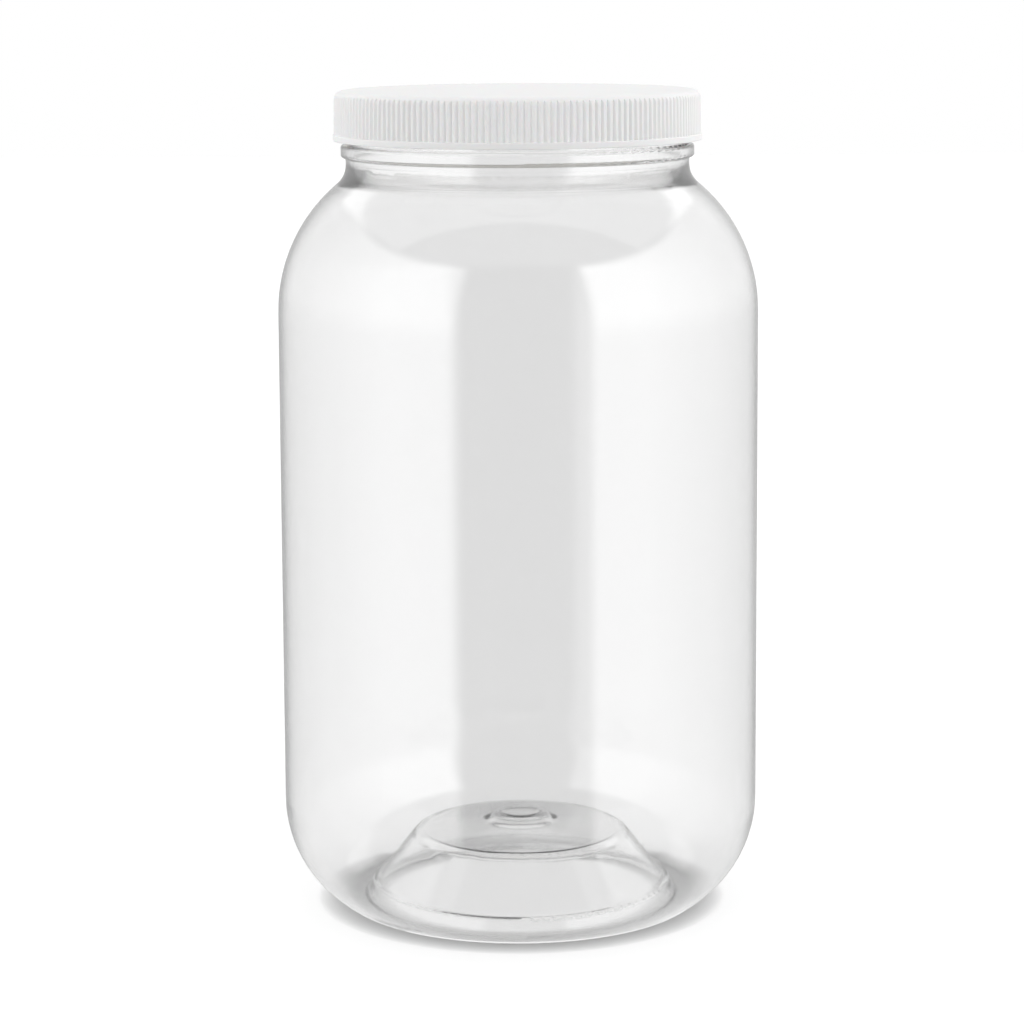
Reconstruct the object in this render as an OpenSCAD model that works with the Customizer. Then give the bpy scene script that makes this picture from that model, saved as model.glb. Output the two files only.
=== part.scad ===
// Wide-mouth round storage jar: a clear blow-moulded body, a ribbed screw cap and the cap's sealing liner.
// Millimetres, +Z up. The origin is on the jar's axis, in the plane that the foot stands on.
// Every round piece is a section of straight lines and true arcs, turned about the axis.

/* [Body] */
// Outer diameter of the straight body
body_d = 151.5; // [140:0.5:165]
// Height from the foot to the sealing rim
jar_h = 257; // [220:1:300]
// Wall of the heel, body and shoulder
body_wall = 0.9; // [0.6:0.1:1.6]
// Section radius of the long heel curve
heel_r = 38.5; // [32:0.5:48]
// Section radius of the toe, between the heel and the foot
toe_r = 6; // [4:0.5:9]
// Section radius of the shoulder
shoulder_r = 52; // [44:0.5:62]
// Straight stretch in section between the heel and the toe, and between the shoulder and the neck's hollow
blend_l = 2; // [1.5:0.1:5]

/* [Base] */
// Diameter at the outer edge of the flat foot ring
foot_d = 108.6; // [96:0.2:118]
// Clear width of the channel above the foot ring
foot_channel = 4.4; // [3:0.1:6]
// Wall of the base
base_wall = 1.2; // [0.8:0.1:1.6]
// Height of the step inside the foot ring
step_h = 4.9; // [3.5:0.1:7]
// Width of the ledge on top of that step
ledge_w = 1.7; // [1.5:0.1:3]
// Diameter of the crown, at the top of the push-up's cone
crown_d = 66; // [50:1:76]
// Height of the crown's underside above the floor
crown_h = 20.8; // [14:0.2:26]
// Rise of the dome from the crown to the gate
dome_rise = 3; // [1:0.2:6]
// Diameter of the gate pad at its foot
gate_d = 22; // [16:0.5:30]
// Height of that pad above the dome
gate_h = 2.4; // [1:0.1:4]

/* [Neck] */
// Outer diameter of the plain neck under the bead
neck_d = 108; // [98:0.5:112]
// Wall of that neck
neck_wall = 2.5; // [1.5:0.1:4]
// Height of that neck between the shoulder's hollow curve and the bead
neck_h = 2.2; // [1.6:0.2:6]
// Section radius of the hollow curve between the neck and the shoulder
hollow_r = 8; // [4:0.5:12]
// How far the neck bead stands out
bead_out = 1.5; // [0.8:0.1:2.5]
// Height of the neck bead
bead_h = 4; // [2.4:0.1:5]
// Gap between the bead and the closed cap
bead_gap = 1.3; // [0.6:0.1:3]
// Wall of the finish, the part of the neck that the cap goes over
finish_wall = 1.85; // [1.2:0.05:2.4]

/* [Cap] */
// Height of the cap
cap_h = 15.5; // [13:0.1:20]
// Thickness of the top panel
panel_t = 1.5; // [1:0.1:2.5]
// Gap between the finish and the inside of the skirt
skirt_gap = 2; // [1.4:0.1:2.6]
// Wall of the skirt at the bottom of the grooves
skirt_wall = 1.6; // [1:0.1:2.4]
// Radius of the edge round the top
cap_edge_r = 2.5; // [1.5:0.1:3.5]
// Narrowing of the skirt from bottom to top, on the radius
cap_draft = 0.15; // [0:0.05:0.4]
// Number of ribs round the skirt
rib_count = 180; // [90:2:200]
// Depth of the grooves between ribs
rib_depth = 0.5; // [0.3:0.05:0.8]
// Width of the flat top of each rib, as a share of the pitch
rib_flat = 0.4; // [0.2:0.05:0.6]
// Height of the smooth band under the ribs
band_h = 2; // [1.2:0.1:4]
// How far the band stands out past the ribs
band_out = 0.3; // [0.1:0.05:0.8]

/* [Liner] */
// Thickness of the sealing liner
liner_t = 1; // [0.6:0.1:1.6]
// Gap between the liner's edge and the skirt
liner_gap = 0.3; // [0.2:0.05:0.5]
// How far the bead that keeps the liner in the cap reaches in past the liner's edge
keeper_lap = 0.3; // [0.2:0.05:0.5]
// Gap between the liner and that bead
keeper_gap = 0.3; // [0.2:0.05:0.6]

/* [Hidden] */
$fn = 180;
past = 1;

// Small chamfers and roundings of moulded edges
rim_chamfer = 0.35;
band_round = 0.3;
base_round = 1.2;
channel_round = 1.6;
ledge_round = 1.9;
crown_round = 4;
gate_round = gate_h * 1.9;
bead_crest_round = bead_out * 0.6;
bead_root_round = bead_out * 0.3;

// Radii, from the driving diameters and walls outwards
body_r = body_d / 2;
foot_r = foot_d / 2;
foot_in = foot_r - foot_channel - base_wall;
crown_r = crown_d / 2;
gate_r = gate_d / 2;
neck_r = neck_d / 2;
bead_r = neck_r + bead_out;
bore_r = neck_r - neck_wall;
finish_r = bore_r + finish_wall;
skirt_r = finish_r + skirt_gap;
groove_r = skirt_r + skirt_wall;
cap_r = groove_r + rib_depth + cap_draft;
band_r = cap_r + band_out;
liner_r = skirt_r - liner_gap;
keeper_r = liner_gap + keeper_lap;

// Heights, from the sealing rim up through the cap and down to the shoulder
panel_z = jar_h + liner_t;
cap_top = panel_z + panel_t;
cap_z = cap_top - cap_h;
band_top = cap_z + band_h;
keeper_z = jar_h - keeper_gap - keeper_r;
bead_top = cap_z - bead_gap;
bead_z = bead_top - bead_h;
hollow_z = bead_z - neck_h;
shoulder_x = body_r - shoulder_r;
shoulder_z = hollow_z - rise(shoulder_r + hollow_r, blend_l, neck_r + hollow_r - shoulder_x);

// How far the sides of the base's step and of its gate pad lean in, as a share of their height,
// and how far the ledge falls, as a share of its width
step_lean = 0.39;
gate_lean = 1.3;
ledge_fall = 0.2;
step_r = foot_in - step_h * step_lean;
ledge_r = step_r - ledge_w;
ledge_z = step_h + ledge_w * ledge_fall;
dome_z = crown_h + dome_rise;
gate_z = dome_z + gate_h;

// The slopes of the base, in degrees, from its centre out to the foot ring
dome_slope = atan2(dome_rise, crown_r - gate_r);
cone_slope = atan2(crown_h - ledge_z, ledge_r - crown_r);
ledge_slope = atan(ledge_fall);
step_slope = atan(1 / step_lean);

function unit(v) = v / norm(v);
function left_of(v) = [-v[1], v[0]];
function cross_z(a, b) = a[0] * b[1] - a[1] * b[0];

// Two arcs joined by a straight stretch:
// the height between their centres, and the angle that the first arc turns
function rise(radii, straight, run) = sqrt(pow(radii, 2) + pow(straight, 2) - pow(run, 2));
function sweep(radii, straight, run) = atan2(rise(radii, straight, run), run) - atan2(straight, radii);

// An arc is this much larger than its rounding,
// so that it crosses its two straight sides and doesn't only touch them
arc_grow = 0.004;

// One corner of an outline of [x, y, rounding] points, as a list:
// 0 and 1, the outline's points on either side of the corner, just inside the crossings
// 2, 3 and 4, the arc's centre, its radius and the angle that the outline turns
// 5 and 6, the slice's points on either side, just outside the crossings
function corner(before, at, after) =
    let (p = [at[0], at[1]])
    let (u = unit(p - [before[0], before[1]]))
    let (v = unit([after[0], after[1]] - p))
    let (turn = atan2(cross_z(u, v), u * v))
    let (reach = at[2] * tan(abs(turn) / 2))
    let (lap = sqrt(2 * at[2] * arc_grow))
    let (centre = p - u * reach + left_of(u) * at[2] * sign(turn))
    at[2] == 0
        ? [p, p, p, 0, turn, p, p]
        : [
            p - u * (reach - lap / 2),
            p + v * (reach - lap / 2),
            centre,
            at[2] + arc_grow,
            turn,
            p - u * (reach + lap * 2),
            p + v * (reach + lap * 2),
        ];

function corners(points) =
    let (n = len(points))
    [for (i = [0 : n - 1]) corner(points[(i + n - 1) % n], points[i], points[(i + 1) % n])];

// The slice of a corner's circle that holds its arc: a wedge from a tip halfway between
// the centre and the chord, with sides long enough to pass the arc
module slice(c) {
    chord = (c[5] + c[6]) / 2;
    tip = (chord + c[2]) / 2;
    side = 4;
    intersection() {
        translate(c[2]) circle(c[3]);
        polygon([tip, tip + side * (c[5] - tip), tip + side * (c[6] - tip)]);
    }
}

// A closed outline of [x, y, rounding] points, taken counterclockwise, with each corner rounded by a true arc
module rounded(points) {
    all = corners(points);
    difference() {
        union() {
            polygon([for (c = all) each c[3] > 0 ? [c[0], c[1]] : [c[0]]]);
            for (c = all) if (c[3] > 0 && c[4] > 0) slice(c);
        }
        for (c = all) if (c[3] > 0 && c[4] < 0) slice(c);
    }
}

// The corner at p between slopes a and b, raised through a wall of thickness t
function raised(p, a, b, t, rounding) =
    let (mean = (a + b) / 2)
    let (reach = t / cos((a - b) / 2))
    [p[0] + reach * sin(mean), p[1] + reach * cos(mean), rounding];

// The base from its centre out to the step: t is 0 for the underside and the base's wall for the inside
function base_outline(t) = [
    [0, gate_z + t, 0],
    [gate_r - gate_h * gate_lean, gate_z + t, gate_round],
    [gate_r, dome_z + t, gate_round],
    raised([crown_r, crown_h], dome_slope, cone_slope, t, crown_round + t),
    raised([ledge_r, ledge_z], cone_slope, ledge_slope, t, ledge_round - t),
    raised([step_r, step_h], ledge_slope, step_slope, t, base_round),
];

// The heel's two corners: the toe at the foot, and the long curve up to the straight wall
function heel_outline(t) =
    let (run = foot_r - body_r + heel_r)
    let (turn = sweep(heel_r - toe_r, blend_l, run))
    let (heel_z = toe_r + rise(heel_r - toe_r, blend_l, run))
    [
        [foot_r + (toe_r - t) * tan(45 - turn / 2), t, toe_r - t],
        [body_r - t, heel_z - (heel_r - t) * tan(turn / 2), heel_r - t],
    ];

// The shoulder's two corners: its arc from the straight wall, and the hollow curve into a neck of radius x
function shoulder_outline(t, x, hollow) =
    let (arc = shoulder_r - t)
    let (run = x + hollow - shoulder_x)
    let (turn = sweep(arc + hollow, blend_l, run))
    let (centre_z = shoulder_z + rise(arc + hollow, blend_l, run))
    [
        [body_r - t, shoulder_z + arc * tan(turn / 2), arc],
        [x, centre_z - hollow * tan(turn / 2), hollow],
    ];

module jar_outside() {
    rounded(concat(
        base_outline(0),
        [[foot_in, 0, base_round]],
        heel_outline(0),
        shoulder_outline(0, neck_r, hollow_r),
        [
            [neck_r, bead_z, bead_root_round],
            [bead_r, bead_z, bead_crest_round],
            [bead_r, bead_top, bead_crest_round],
            [finish_r, bead_top, bead_root_round],
            [finish_r, jar_h - rim_chamfer, 0],
            [finish_r - rim_chamfer, jar_h, 0],
            [0, jar_h, 0],
        ]
    ));
}

module jar_inside() {
    rounded(concat(
        base_outline(base_wall),
        [[foot_in + base_wall, body_wall, channel_round]],
        heel_outline(body_wall),
        shoulder_outline(body_wall, bore_r, hollow_r + body_wall),
        [
            [bore_r, jar_h + past, 0],
            [0, jar_h + past, 0],
        ]
    ));
}

module jar_body() {
    color([0.87, 0.90, 0.91, 0.35])
    rotate_extrude() difference() {
        jar_outside();
        jar_inside();
    }
}

module cap_outside() {
    rounded([
        [0, cap_z, 0],
        [band_r, cap_z, band_round],
        [band_r, band_top, band_round],
        [cap_r, band_top, 0],
        [cap_r - cap_draft, cap_top, cap_edge_r],
        [0, cap_top, 0],
    ]);
}

module cap_inside() {
    difference() {
        polygon([[0, cap_z - past], [skirt_r, cap_z - past], [skirt_r, panel_z], [0, panel_z]]);
        translate([skirt_r, keeper_z]) circle(keeper_r);
    }
}

// The ring of ribs from above: pointed teeth, which the turned skirt cuts off to flat-topped ones
module rib_ring() {
    pitch = 360 / rib_count;
    point_r = groove_r + rib_depth / (1 - rib_flat);
    polygon([
        for (i = [0 : rib_count - 1])
        each [
            groove_r * [cos(i * pitch), sin(i * pitch)],
            point_r * [cos((i + 0.5) * pitch), sin((i + 0.5) * pitch)],
        ]
    ]);
}

module grooves() {
    translate([0, 0, band_top]) linear_extrude(cap_h) difference() {
        circle(band_r + past);
        rib_ring();
    }
}

module screw_cap() {
    color("whitesmoke")
    difference() {
        rotate_extrude() difference() {
            cap_outside();
            cap_inside();
        }
        grooves();
    }
}

module cap_liner() {
    color("ivory")
    translate([0, 0, jar_h]) cylinder(h = liner_t, r = liner_r);
}

jar_body();
screw_cap();
cap_liner();
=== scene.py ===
import math

import bpy
from mathutils import Euler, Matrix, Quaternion


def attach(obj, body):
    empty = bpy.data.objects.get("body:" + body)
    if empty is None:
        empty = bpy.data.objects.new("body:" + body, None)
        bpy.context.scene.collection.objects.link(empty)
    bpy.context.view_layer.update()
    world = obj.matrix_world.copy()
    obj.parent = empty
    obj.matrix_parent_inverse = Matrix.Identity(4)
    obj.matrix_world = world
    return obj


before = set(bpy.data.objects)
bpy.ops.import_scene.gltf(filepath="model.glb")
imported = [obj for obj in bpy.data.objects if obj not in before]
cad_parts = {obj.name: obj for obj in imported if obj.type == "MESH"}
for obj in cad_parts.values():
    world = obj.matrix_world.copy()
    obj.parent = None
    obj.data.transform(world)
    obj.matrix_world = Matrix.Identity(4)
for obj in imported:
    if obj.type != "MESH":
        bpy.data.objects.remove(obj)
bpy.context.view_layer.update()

MM = 0.001

# The photograph's frame in pixels, and the camera fitted to the jar's outline in it, with its place in metres.
PICTURE_PX = 1024
FOCAL_PX = 3176
AXIS_PX = (518.7, 410)
SENSOR_MM = 36
CAMERA_AT = (0, -1.0, 0.29844)
CAMERA_PITCH = math.radians(7.99)
CAMERA_ROLL = math.radians(-0.28)

# The screw threads, in millimetres. The walls they stand on are the part's own.
FINISH_R = 53.35
SKIRT_R = 55.35
THREAD_LEAD = 5.08
THREAD_SUNK = 0.15
JAR_THREAD_Z = 246.8
CAP_THREAD_BELOW = 2.1
STEPS_A_TURN = 144
SECTION_CORNERS = 4

# Each thread's end sinks into its wall over this length, by this many times the thread's height.
RUN_OUT = 12
RUN_OUT_DEPTH = 1.03

# An edge sharper than this stays sharp to the eye.
SHARP_EDGE = math.radians(30)

# The clear plastic: its slow waves and the heights between which its haze grows, in millimetres, and its
# roughness below and above them.
WAVE_LENGTH = 38
WAVE_DEPTH = 0.03
HAZE_FROM = 226
HAZE_TO = 234
WALL_HAZE = 0.045
NECK_HAZE = 0.09

# The share of light that passes one clear surface, straight and along it, and the slant from which it falls,
# where 0 is straight and 1 is along it.
PASSES_STRAIGHT = 0.99
PASSES_ALONG = 0.4
FALLS_FROM = 0.7

# The sideways part of a unit normal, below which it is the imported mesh's and not the shape's.
LARGEST_LEAN = 0.25

# The grain of the cap and the cells of the liner, in millimetres: how wide they are and how deep.
GRAIN_WIDTH = 0.6
GRAIN_DEPTH = 0.012
CELL_WIDTH = 0.7
CELL_DEPTH = 0.1

# The table: its side in metres, and in millimetres its place under the foot and the reach of the shadow that is
# painted into its colour where the foot stands on it. Then how dark that painted shadow is, and the share of
# the table's white that comes from the light below it.
FLOOR_SIDE = 8
FLOOR_Z = -0.1
PAINTED_SHADOW_REACH = 6
PAINTED_SHADOW_STRENGTH = 0.7
FLOOR_GLOW = 0.12

# The soft boxes. An edge is soft from its first angle to its second, in degrees to the right of the camera,
# to either side of it or above the horizon. Their light is stronger on the right, and from their foot up, and
# falls off behind the jar.
LEFT_BOX_EDGE = (-25, -33)
RIGHT_BOX_EDGE = (31, 39)
RIGHT_BOX_LIGHT = 1.22
BOX_TOP = (41, 35)
BOX_FOOT = (-9, 4)
BOX_FOOT_LIGHT = 1.18
BOX_LIGHT = 1.7
BOX_SIDE = (60, 140)
BOX_SIDE_LEFT = 0.4
BACK_WALL = (140, 165)
BACK_WALL_LEFT = 0.5

# The light overhead. Its edges are distances from the point overhead, in heights above the jar, and its foot
# lies between angles above the horizon, in degrees.
PANEL_SIDES = (1.25, 1.1)
PANEL_FRONT = (-0.34, -0.26)
PANEL_BACK = (2.2, 1.6)
PANEL_FOOT = (15, 20)
PANEL_LIGHT = 0.62

# The rest of the room, and the white table, which mirrored light sees below these angles.
ROOM_LIGHT = 0.35
TABLE_EDGE = (-17, -25)
TABLE_LIGHT = 1.0


def linear(hex_colour):
    """An sRGB hex colour as linear RGBA."""
    channels = [int(hex_colour[i:i + 2], 16) / 255 for i in (1, 3, 5)]
    return [c / 12.92 if c <= 0.04045 else ((c + 0.055) / 1.055) ** 2.4 for c in channels] + [1]


def add(tree, kind, settings=None, **inputs):
    """Adds a node. Settings are its own properties, and an input is a value or the socket to link from.
    An input's name is the socket's, with _ for a space, or in_ and the socket's number."""
    node = tree.nodes.new(kind)
    for name, value in (settings or {}).items():
        setattr(node, name, value)
    for name, value in inputs.items():
        socket = node.inputs[int(name[3:])] if name.startswith("in_") else node.inputs[name.replace("_", " ")]
        if isinstance(value, bpy.types.NodeSocket):
            tree.links.new(value, socket)
        else:
            socket.default_value = value
    return node


def new_material(name):
    material = bpy.data.materials.new(name)
    material.use_nodes = True
    material.node_tree.nodes.clear()
    return material, material.node_tree


def turned_normal(tree, spot):
    """The surface's normal without its sideways lean. A wall that is turned about the jar's axis has none,
    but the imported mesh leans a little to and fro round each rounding, which clear plastic would show as dots.
    A face that truly looks sideways, such as a thread's end, keeps its normal."""
    back = add(tree, "ShaderNodeMath", {"operation": "MULTIPLY"}, in_0=spot["Y"], in_1=-1.0)
    sideways = add(tree, "ShaderNodeCombineXYZ", X=back.outputs[0], Y=spot["X"])
    sideways = add(tree, "ShaderNodeVectorMath", {"operation": "NORMALIZE"}, in_0=sideways.outputs[0])
    sideways = sideways.outputs[0]
    normal = add(tree, "ShaderNodeNewGeometry").outputs["Normal"]
    lean = add(tree, "ShaderNodeVectorMath", {"operation": "DOT_PRODUCT"}, in_0=normal, in_1=sideways)
    lean = lean.outputs["Value"]
    amount = add(tree, "ShaderNodeMath", {"operation": "ABSOLUTE"}, in_0=lean)
    small = add(tree, "ShaderNodeMath", {"operation": "LESS_THAN"}, in_0=amount.outputs[0], in_1=LARGEST_LEAN)
    lean = add(tree, "ShaderNodeMath", {"operation": "MULTIPLY"}, in_0=lean, in_1=small.outputs[0])
    lean = add(tree, "ShaderNodeVectorMath", {"operation": "SCALE"}, in_0=sideways, Scale=lean.outputs[0])
    upright = add(tree, "ShaderNodeVectorMath", {"operation": "SUBTRACT"}, in_0=normal, in_1=lean.outputs[0])
    upright = add(tree, "ShaderNodeVectorMath", {"operation": "NORMALIZE"}, in_0=upright.outputs[0])
    return upright.outputs[0]


def clear_pet():
    """Polyethylene terephthalate, stretch-blow-moulded: clear and glossy, with the slow waves in the wall
    that blowing leaves, and a little more haze from the neck bead up, which blowing doesn't stretch. Light on
    its way to the table passes through the wall, so that its shadow is a clear jar's."""
    material, tree = new_material("clear_pet")
    place = add(tree, "ShaderNodeTexCoord").outputs["Object"]
    spot = add(tree, "ShaderNodeSeparateXYZ", Vector=place).outputs
    waves = add(tree, "ShaderNodeTexNoise", Vector=place, Scale=1 / (WAVE_LENGTH * MM), Detail=1.0)
    bump = add(
        tree, "ShaderNodeBump", Height=waves.outputs["Fac"], Strength=1.0, Distance=WAVE_DEPTH * MM,
        Normal=turned_normal(tree, spot),
    )
    haze = add(
        tree, "ShaderNodeMapRange", {"interpolation_type": "SMOOTHSTEP"}, Value=spot["Z"],
        From_Min=HAZE_FROM * MM, From_Max=HAZE_TO * MM, To_Min=WALL_HAZE, To_Max=NECK_HAZE,
    )
    shader = add(
        tree, "ShaderNodeBsdfPrincipled",
        Base_Color=linear("#F5F5F5"), Roughness=haze.outputs["Result"], IOR=1.575, Transmission_Weight=1.0,
        Normal=bump.outputs["Normal"],
    )
    path = add(tree, "ShaderNodeLightPath").outputs
    grazing = add(tree, "ShaderNodeLayerWeight", Blend=0.5).outputs["Facing"]
    passed = add(
        tree, "ShaderNodeMapRange", Value=grazing,
        From_Min=FALLS_FROM, From_Max=1.0, To_Min=PASSES_STRAIGHT, To_Max=PASSES_ALONG,
    )
    passed = add(tree, "ShaderNodeBsdfTransparent", Color=passed.outputs["Result"])
    lighting = add(
        tree, "ShaderNodeMath", {"operation": "MAXIMUM"},
        in_0=path["Is Shadow Ray"], in_1=path["Is Diffuse Ray"],
    )
    mix = add(
        tree, "ShaderNodeMixShader",
        in_0=lighting.outputs[0], in_1=shader.outputs["BSDF"], in_2=passed.outputs["BSDF"],
    )
    add(tree, "ShaderNodeOutputMaterial", Surface=mix.outputs["Shader"])
    return material


def white_polypropylene():
    """Polypropylene, injection-moulded and pigmented white: satin, with the grain of the mould's steel, which
    is drawn coarser than it is so that it shows, and a little light carried under its skin."""
    material, tree = new_material("white_polypropylene")
    place = add(tree, "ShaderNodeTexCoord").outputs["Object"]
    grain = add(tree, "ShaderNodeTexNoise", Vector=place, Scale=1 / (GRAIN_WIDTH * MM), Detail=3.0)
    bump = add(tree, "ShaderNodeBump", Height=grain.outputs["Fac"], Strength=0.3, Distance=GRAIN_DEPTH * MM)
    shader = add(
        tree, "ShaderNodeBsdfPrincipled",
        Base_Color=linear("#F1F1F1"), Roughness=0.52, IOR=1.49, Specular_IOR_Level=0.3,
        Subsurface_Weight=0.1, Subsurface_Scale=0.5 * MM, Normal=bump.outputs["Normal"],
    )
    add(tree, "ShaderNodeOutputMaterial", Surface=shader.outputs["BSDF"])
    return material


def foamed_polyethylene():
    """Polyethylene foam sheet, die-cut: matt and soft, with small closed cells."""
    material, tree = new_material("foamed_polyethylene")
    place = add(tree, "ShaderNodeTexCoord").outputs["Object"]
    cells = add(tree, "ShaderNodeTexVoronoi", Vector=place, Scale=1 / (CELL_WIDTH * MM))
    bump = add(
        tree, "ShaderNodeBump", Height=cells.outputs["Distance"], Strength=0.5, Distance=CELL_DEPTH * MM,
    )
    shader = add(
        tree, "ShaderNodeBsdfPrincipled",
        Base_Color=linear("#F2F0EA"), Roughness=0.75, IOR=1.5, Normal=bump.outputs["Normal"],
    )
    add(tree, "ShaderNodeOutputMaterial", Surface=shader.outputs["BSDF"])
    return material


def seen_straight(tree):
    """1 for what the camera sees, directly or only through clear walls, and 0 for light that was bounced."""
    path = add(tree, "ShaderNodeLightPath").outputs
    bounced = add(
        tree, "ShaderNodeMath", {"operation": "ADD"},
        in_0=path["Glossy Depth"], in_1=path["Diffuse Depth"],
    )
    straight = add(tree, "ShaderNodeMath", {"operation": "LESS_THAN"}, in_0=bounced.outputs[0], in_1=0.5)
    through = add(
        tree, "ShaderNodeMath", {"operation": "MULTIPLY"},
        in_0=straight.outputs[0], in_1=path["Is Transmission Ray"],
    )
    seen = add(
        tree, "ShaderNodeMath", {"operation": "MAXIMUM"},
        in_0=through.outputs[0], in_1=path["Is Camera Ray"],
    )
    return seen.outputs[0]


def pale_floor():
    """A white matt table, lit a little from below as a light table is. Round the foot a contact shadow is
    painted into its colour, darker where a surface stands close above it. It throws less light back on the jar
    than its white would. Mirrored light doesn't meet it, so the jar's gloss shows the soft boxes right down."""
    material, tree = new_material("pale_floor")
    path = add(tree, "ShaderNodeLightPath").outputs
    mirrored = add(tree, "ShaderNodeMath", {"operation": "GREATER_THAN"}, in_0=path["Glossy Depth"], in_1=0.5)
    paint = add(
        tree, "ShaderNodeMix", {"data_type": "RGBA"},
        in_0=seen_straight(tree), in_6=linear("#CACACA"), in_7=linear("#FAFAFA"),
    )
    # Painted contact shadow: the table's colour is darkened wherever a surface stands within this reach above
    # it.
    painted_contact_shadow = add(tree, "ShaderNodeAmbientOcclusion", {"samples": 8}, Distance=PAINTED_SHADOW_REACH * MM)
    shade = add(
        tree, "ShaderNodeMix", {"data_type": "RGBA", "blend_type": "MULTIPLY"},
        in_0=PAINTED_SHADOW_STRENGTH, in_6=paint.outputs[2], in_7=painted_contact_shadow.outputs["Color"],
    )
    paint = add(tree, "ShaderNodeBsdfDiffuse", Color=shade.outputs[2])
    share = add(
        tree, "ShaderNodeMath", {"operation": "MULTIPLY"},
        in_0=path["Is Camera Ray"], in_1=FLOOR_GLOW,
    )
    glow = add(tree, "ShaderNodeEmission", Color=linear("#FFFFFF"), Strength=share.outputs[0])
    lit = add(tree, "ShaderNodeAddShader", in_0=paint.outputs[0], in_1=glow.outputs[0])
    gone = add(tree, "ShaderNodeBsdfTransparent")
    mix = add(
        tree, "ShaderNodeMixShader",
        in_0=mirrored.outputs[0], in_1=lit.outputs[0], in_2=gone.outputs[0],
    )
    add(tree, "ShaderNodeOutputMaterial", Surface=mix.outputs[0])
    return material


def radians(edge):
    """Both angles of an edge that is given in degrees."""
    return [math.radians(angle) for angle in edge]


def soft_light(tree, edges, light=None):
    """A light with soft edges, or a given light with more of them. An edge is what is measured, the two
    values that the edge lies between, and the light's strength on either side."""
    for measure, (start, end), (low, high) in edges:
        edge = add(
            tree, "ShaderNodeMapRange", {"interpolation_type": "SMOOTHSTEP"}, Value=measure.outputs[0],
            From_Min=start, From_Max=end, To_Min=low, To_Max=high,
        )
        if light is None:
            light = edge.outputs[0]
        else:
            inside = add(tree, "ShaderNodeMath", {"operation": "MULTIPLY"}, in_0=light, in_1=edge.outputs[0])
            light = inside.outputs[0]
    return light


def make_studio():
    """The room: tall soft boxes left and right, a dimmer gap in front where the camera stands, a grey wall
    behind, a soft light overhead and a white table below. What is seen straight through the jar is the white
    backdrop."""
    world = bpy.data.worlds.new("studio")
    bpy.context.scene.world = world
    world.use_nodes = True
    tree = world.node_tree
    tree.nodes.clear()
    towards = add(tree, "ShaderNodeTexCoord").outputs["Generated"]
    part = add(tree, "ShaderNodeSeparateXYZ", Vector=towards).outputs
    ahead = add(tree, "ShaderNodeMath", {"operation": "MULTIPLY"}, in_0=part["Y"], in_1=-1.0)
    right = add(tree, "ShaderNodeMath", {"operation": "ARCTAN2"}, in_0=part["X"], in_1=ahead.outputs[0])
    aside = add(tree, "ShaderNodeMath", {"operation": "ABSOLUTE"}, in_0=right.outputs[0])
    height = add(tree, "ShaderNodeMath", {"operation": "ARCSINE"}, in_0=part["Z"])
    across = add(tree, "ShaderNodeMath", {"operation": "DIVIDE"}, in_0=part["X"], in_1=part["Z"])
    across = add(tree, "ShaderNodeMath", {"operation": "ABSOLUTE"}, in_0=across.outputs[0])
    along = add(tree, "ShaderNodeMath", {"operation": "DIVIDE"}, in_0=part["Y"], in_1=part["Z"])
    boxes = add(
        tree, "ShaderNodeMath", {"operation": "ADD"},
        in_0=soft_light(tree, [(right, radians(LEFT_BOX_EDGE), (0.0, 1.0))]),
        in_1=soft_light(tree, [(right, radians(RIGHT_BOX_EDGE), (0.0, RIGHT_BOX_LIGHT))]),
    )
    box_edges = [
        (height, radians(BOX_TOP), (0.0, 1.0)),
        (height, radians(BOX_FOOT), (BOX_FOOT_LIGHT, BOX_LIGHT)),
        (aside, radians(BOX_SIDE), (1.0, BOX_SIDE_LEFT)),
        (aside, radians(BACK_WALL), (1.0, BACK_WALL_LEFT)),
    ]
    panel_edges = [
        (across, PANEL_SIDES, (0.0, 1.0)),
        (along, PANEL_FRONT, (0.0, 1.0)),
        (along, PANEL_BACK, (0.0, 1.0)),
        (height, radians(PANEL_FOOT), (0.0, PANEL_LIGHT)),
    ]
    light = add(
        tree, "ShaderNodeMath", {"operation": "ADD"},
        in_0=soft_light(tree, box_edges, boxes.outputs[0]), in_1=soft_light(tree, panel_edges),
    )
    light = add(tree, "ShaderNodeMath", {"operation": "ADD"}, in_0=light.outputs[0], in_1=ROOM_LIGHT)
    table = soft_light(tree, [(height, radians(TABLE_EDGE), (0.0, 1.0))])
    light = add(tree, "ShaderNodeMix", in_0=table, in_2=light.outputs[0], in_3=TABLE_LIGHT)
    room = add(tree, "ShaderNodeBackground", Color=linear("#FFFFFF"), Strength=light.outputs[0])
    backdrop = add(tree, "ShaderNodeBackground", Color=linear("#FFFFFF"), Strength=1.0)
    mix = add(
        tree, "ShaderNodeMixShader",
        in_0=seen_straight(tree), in_1=room.outputs[0], in_2=backdrop.outputs[0],
    )
    add(tree, "ShaderNodeOutputWorld", Surface=mix.outputs[0])


def make_floor():
    bpy.ops.object.select_all(action="DESELECT")
    bpy.ops.mesh.primitive_plane_add(size=FLOOR_SIDE, location=(0, 0, FLOOR_Z * MM))
    floor = bpy.context.active_object
    floor.name = "floor"
    floor.data.materials.append(pale_floor())


def make_camera():
    data = bpy.data.cameras.new("camera")
    data.sensor_width = SENSOR_MM
    data.lens = SENSOR_MM * FOCAL_PX / PICTURE_PX
    data.shift_x = (PICTURE_PX / 2 - AXIS_PX[0]) / PICTURE_PX
    data.shift_y = (AXIS_PX[1] - PICTURE_PX / 2) / PICTURE_PX
    camera = bpy.data.objects.new("camera", data)
    bpy.context.scene.collection.objects.link(camera)
    camera.location = CAMERA_AT
    level = Euler((math.radians(90) - CAMERA_PITCH, 0, 0)).to_quaternion()
    camera.rotation_mode = "QUATERNION"
    camera.rotation_quaternion = level @ Quaternion((0, 0, 1), CAMERA_ROLL)
    bpy.context.scene.camera = camera


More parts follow.
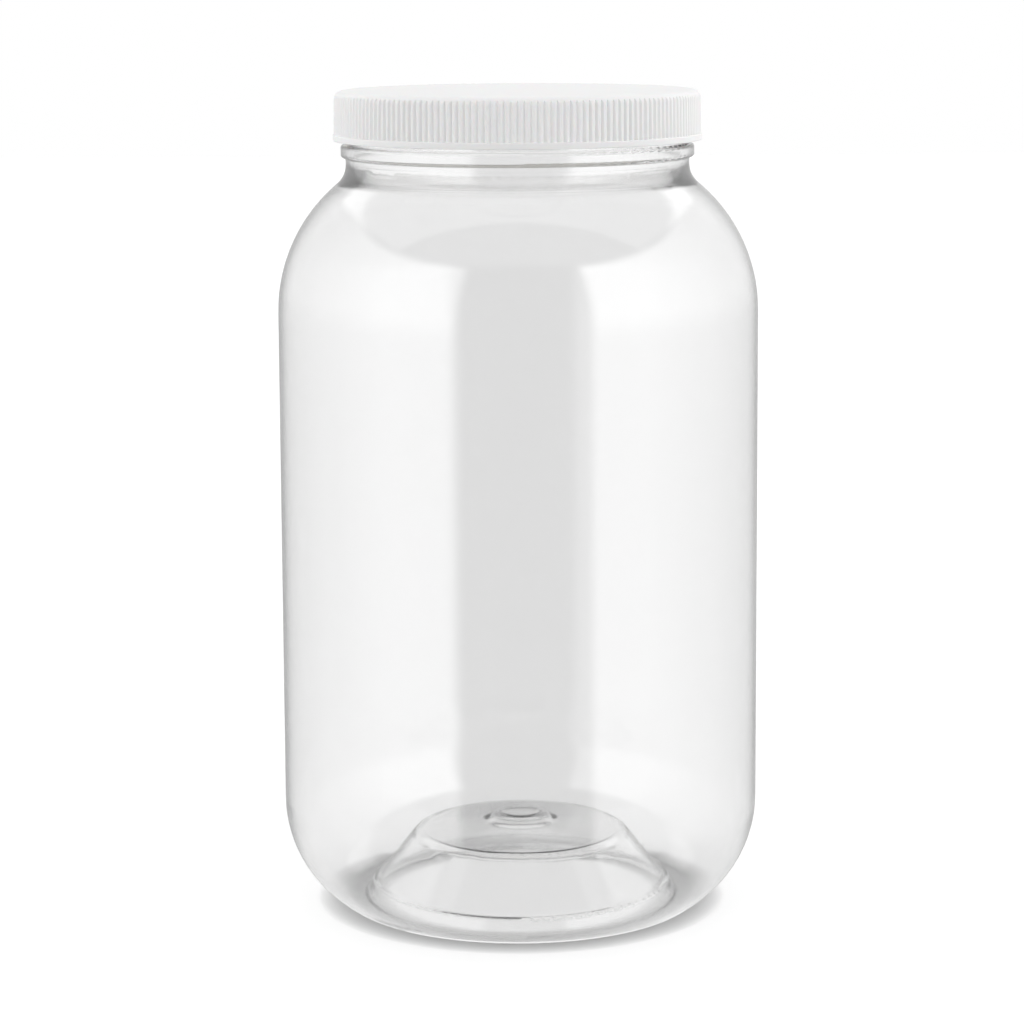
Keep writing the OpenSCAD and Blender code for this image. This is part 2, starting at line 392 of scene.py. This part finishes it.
def select_corners(ridge, chosen):
    """Leaves the ridge in edit mode with only the corners of the chosen numbers selected."""
    bpy.ops.object.mode_set(mode="EDIT")
    bpy.ops.mesh.select_all(action="DESELECT")
    bpy.ops.object.mode_set(mode="OBJECT")
    for number in chosen:
        ridge.data.vertices[number].select = True
    bpy.ops.object.mode_set(mode="EDIT")


def make_thread(name, material, wall_r, height, start_z, start_turn, turns, root_w, crest_w):
    """One helical ridge on a round wall, out from it where the height is above zero and in where it is below.
    Both ends run out into the wall."""
    outward = math.copysign(1, height)
    foot = (wall_r - outward * THREAD_SUNK) * MM
    top = (wall_r + height) * MM
    middle = (foot + top) / 2
    bpy.ops.object.select_all(action="DESELECT")
    bpy.ops.mesh.primitive_plane_add(size=1, rotation=(math.radians(90), 0, 0))
    ridge = bpy.context.active_object
    ridge.name = name
    ridge.scale = (abs(top - foot), root_w * MM, 1)
    ridge.location = (middle, 0, start_z * MM)
    bpy.ops.object.transform_apply(location=True, rotation=True, scale=True)
    bpy.ops.object.mode_set(mode="EDIT")
    bpy.ops.mesh.delete(type="ONLY_FACE")
    bpy.ops.object.mode_set(mode="OBJECT")
    crest = [v.index for v in ridge.data.vertices if abs(v.co.x - top) < abs(v.co.x - foot)]
    select_corners(ridge, crest)
    bpy.ops.transform.resize(value=(1, 1, crest_w / root_w), center_override=(top, 0, start_z * MM))
    bpy.ops.object.mode_set(mode="OBJECT")
    ridge.rotation_euler = (0, 0, math.radians(start_turn))
    bpy.ops.object.transform_apply(location=True, rotation=True, scale=True)
    bpy.ops.object.modifier_add(type="SCREW")
    screw = ridge.modifiers[0]
    screw.angle = 2 * math.pi * turns
    screw.screw_offset = THREAD_LEAD * MM * turns
    screw.steps = round(STEPS_A_TURN * turns)
    screw.render_steps = screw.steps
    bpy.ops.object.modifier_apply(modifier=screw.name)
    last = len(ridge.data.vertices) - SECTION_CORNERS
    sink = -height * RUN_OUT_DEPTH * MM
    for first, angle in ((0, start_turn), (last, start_turn + 360 * turns)):
        select_corners(ridge, range(first, first + SECTION_CORNERS))
        bpy.ops.transform.translate(
            value=(sink * math.cos(math.radians(angle)), sink * math.sin(math.radians(angle)), 0),
            use_proportional_edit=True, use_proportional_connected=True,
            proportional_edit_falloff="SMOOTH", proportional_size=RUN_OUT * MM,
        )
        bpy.ops.object.mode_set(mode="OBJECT")
    bpy.ops.object.mode_set(mode="EDIT")
    bpy.ops.mesh.select_all(action="SELECT")
    bpy.ops.mesh.fill_holes(sides=SECTION_CORNERS)
    bpy.ops.mesh.normals_make_consistent(inside=False)
    bpy.ops.object.mode_set(mode="OBJECT")
    bpy.ops.object.shade_smooth_by_angle(angle=SHARP_EDGE)
    ridge.data.materials.append(material)
    return ridge


def finish_node(node, material):
    """Gives a CAD node its finish."""
    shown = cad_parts[node]
    shown.data.materials.clear()
    shown.data.materials.append(material)


jar_plastic = clear_pet()
cap_plastic = white_polypropylene()
finish_node("jar_body", jar_plastic)
finish_node("screw_cap", cap_plastic)
finish_node("cap_liner", foamed_polyethylene())

jar_thread = make_thread(
    "jar_thread", jar_plastic, wall_r=FINISH_R, height=1.5, start_z=JAR_THREAD_Z, start_turn=90, turns=1.25,
    root_w=2.6, crest_w=1.2,
)
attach(jar_thread, "jar")
cap_thread = make_thread(
    "cap_thread", cap_plastic, wall_r=SKIRT_R, height=-1.4,
    start_z=JAR_THREAD_Z - CAP_THREAD_BELOW + THREAD_LEAD / 4, start_turn=180, turns=1,
    root_w=2.4, crest_w=1.0,
)
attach(cap_thread, "cap")

make_studio()
make_floor()
make_camera()
bpy.context.scene.view_settings.view_transform = "Standard"
